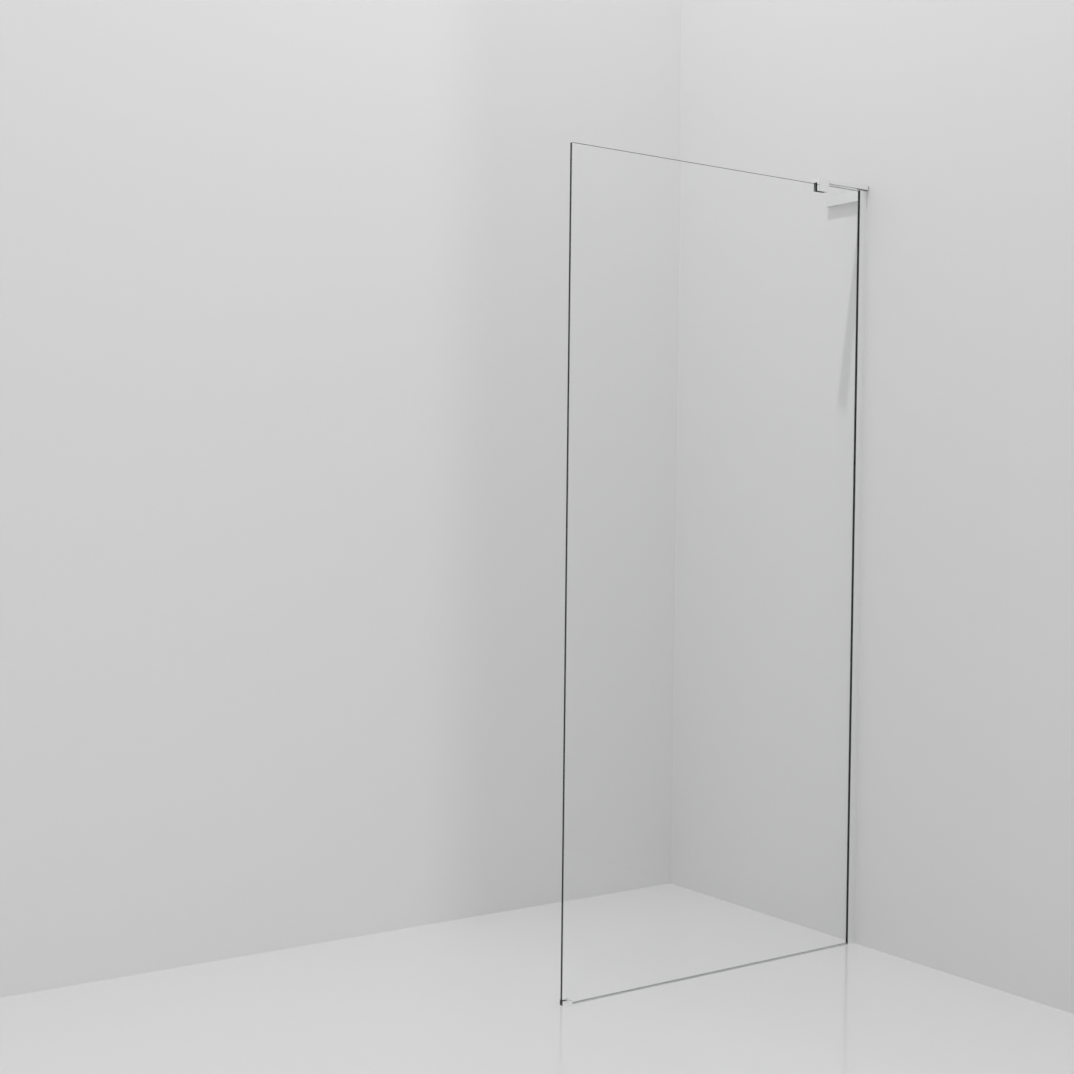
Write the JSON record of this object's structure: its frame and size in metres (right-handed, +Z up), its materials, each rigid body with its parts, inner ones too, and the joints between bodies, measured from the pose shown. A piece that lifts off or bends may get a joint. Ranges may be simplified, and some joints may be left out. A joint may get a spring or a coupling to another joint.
{
  "type": "walk-in shower screen",
  "caption": "Fixed clear glass shower screen in a slim wall channel, steadied by an L-shaped bracket with a clamp over its top edge and a small foot at the free corner.",
  "frame": {"origin": "foot of the wall channel's back face, in the middle plane of the glass at floor level", "axes": "+X towards the wall, square to it; +Y towards the shower side; +Z up along the channel"},
  "size_m": [0.964, 0.148, 2.013],
  "materials": {
    "glass": "clear, toughened, polished edges",
    "chrome": "polished",
    "polished_aluminium": "bright polished, anodised",
    "stainless_plate": "brushed",
    "steel_screws": "plain",
    "black_rubber": "matt, moulded",
    "end_cap": "silver grey, satin",
    "packer": "moulded",
    "clear_seal": "translucent grey"
  },
  "bodies": {
    "wall_fixings": {"bracket_cover": "chrome", "stabiliser_arm": "chrome", "clamp_body": "chrome", "foot_body": "chrome", "wall_channel": "polished_aluminium", "bracket_base_plate": "stainless_plate", "arm_dowel_pins": "stainless_plate", "cover_grub_screws": "steel_screws", "arm_end_screw": "steel_screws", "arm_grub_screw": "steel_screws", "foot_grub_screws": "steel_screws", "channel_gasket_front": "black_rubber", "channel_gasket_rear": "black_rubber", "clamp_pad_front": "black_rubber", "clamp_top_buffer": "black_rubber", "foot_liner": "black_rubber", "channel_top_cap": "end_cap", "setting_block": "packer", "bottom_seal": "clear_seal"},
    "glass": {"glass_panel": "glass"},
    "clamp_plate": {"pressure_plate": "stainless_plate", "pressure_pad": "black_rubber", "clamp_grub_screws": "steel_screws"}
  },
  "joints": [
    {"name": "panel_adjust", "type": "slide", "parent": "wall_fixings", "child": "glass", "axis": [1, 0, 0], "range_m": [-0.005, 0.008]},
    {"name": "clamp_release", "type": "slide", "parent": "wall_fixings", "child": "clamp_plate", "axis": [0, 1, 0], "range_m": [0, 0.002]}
  ]
}
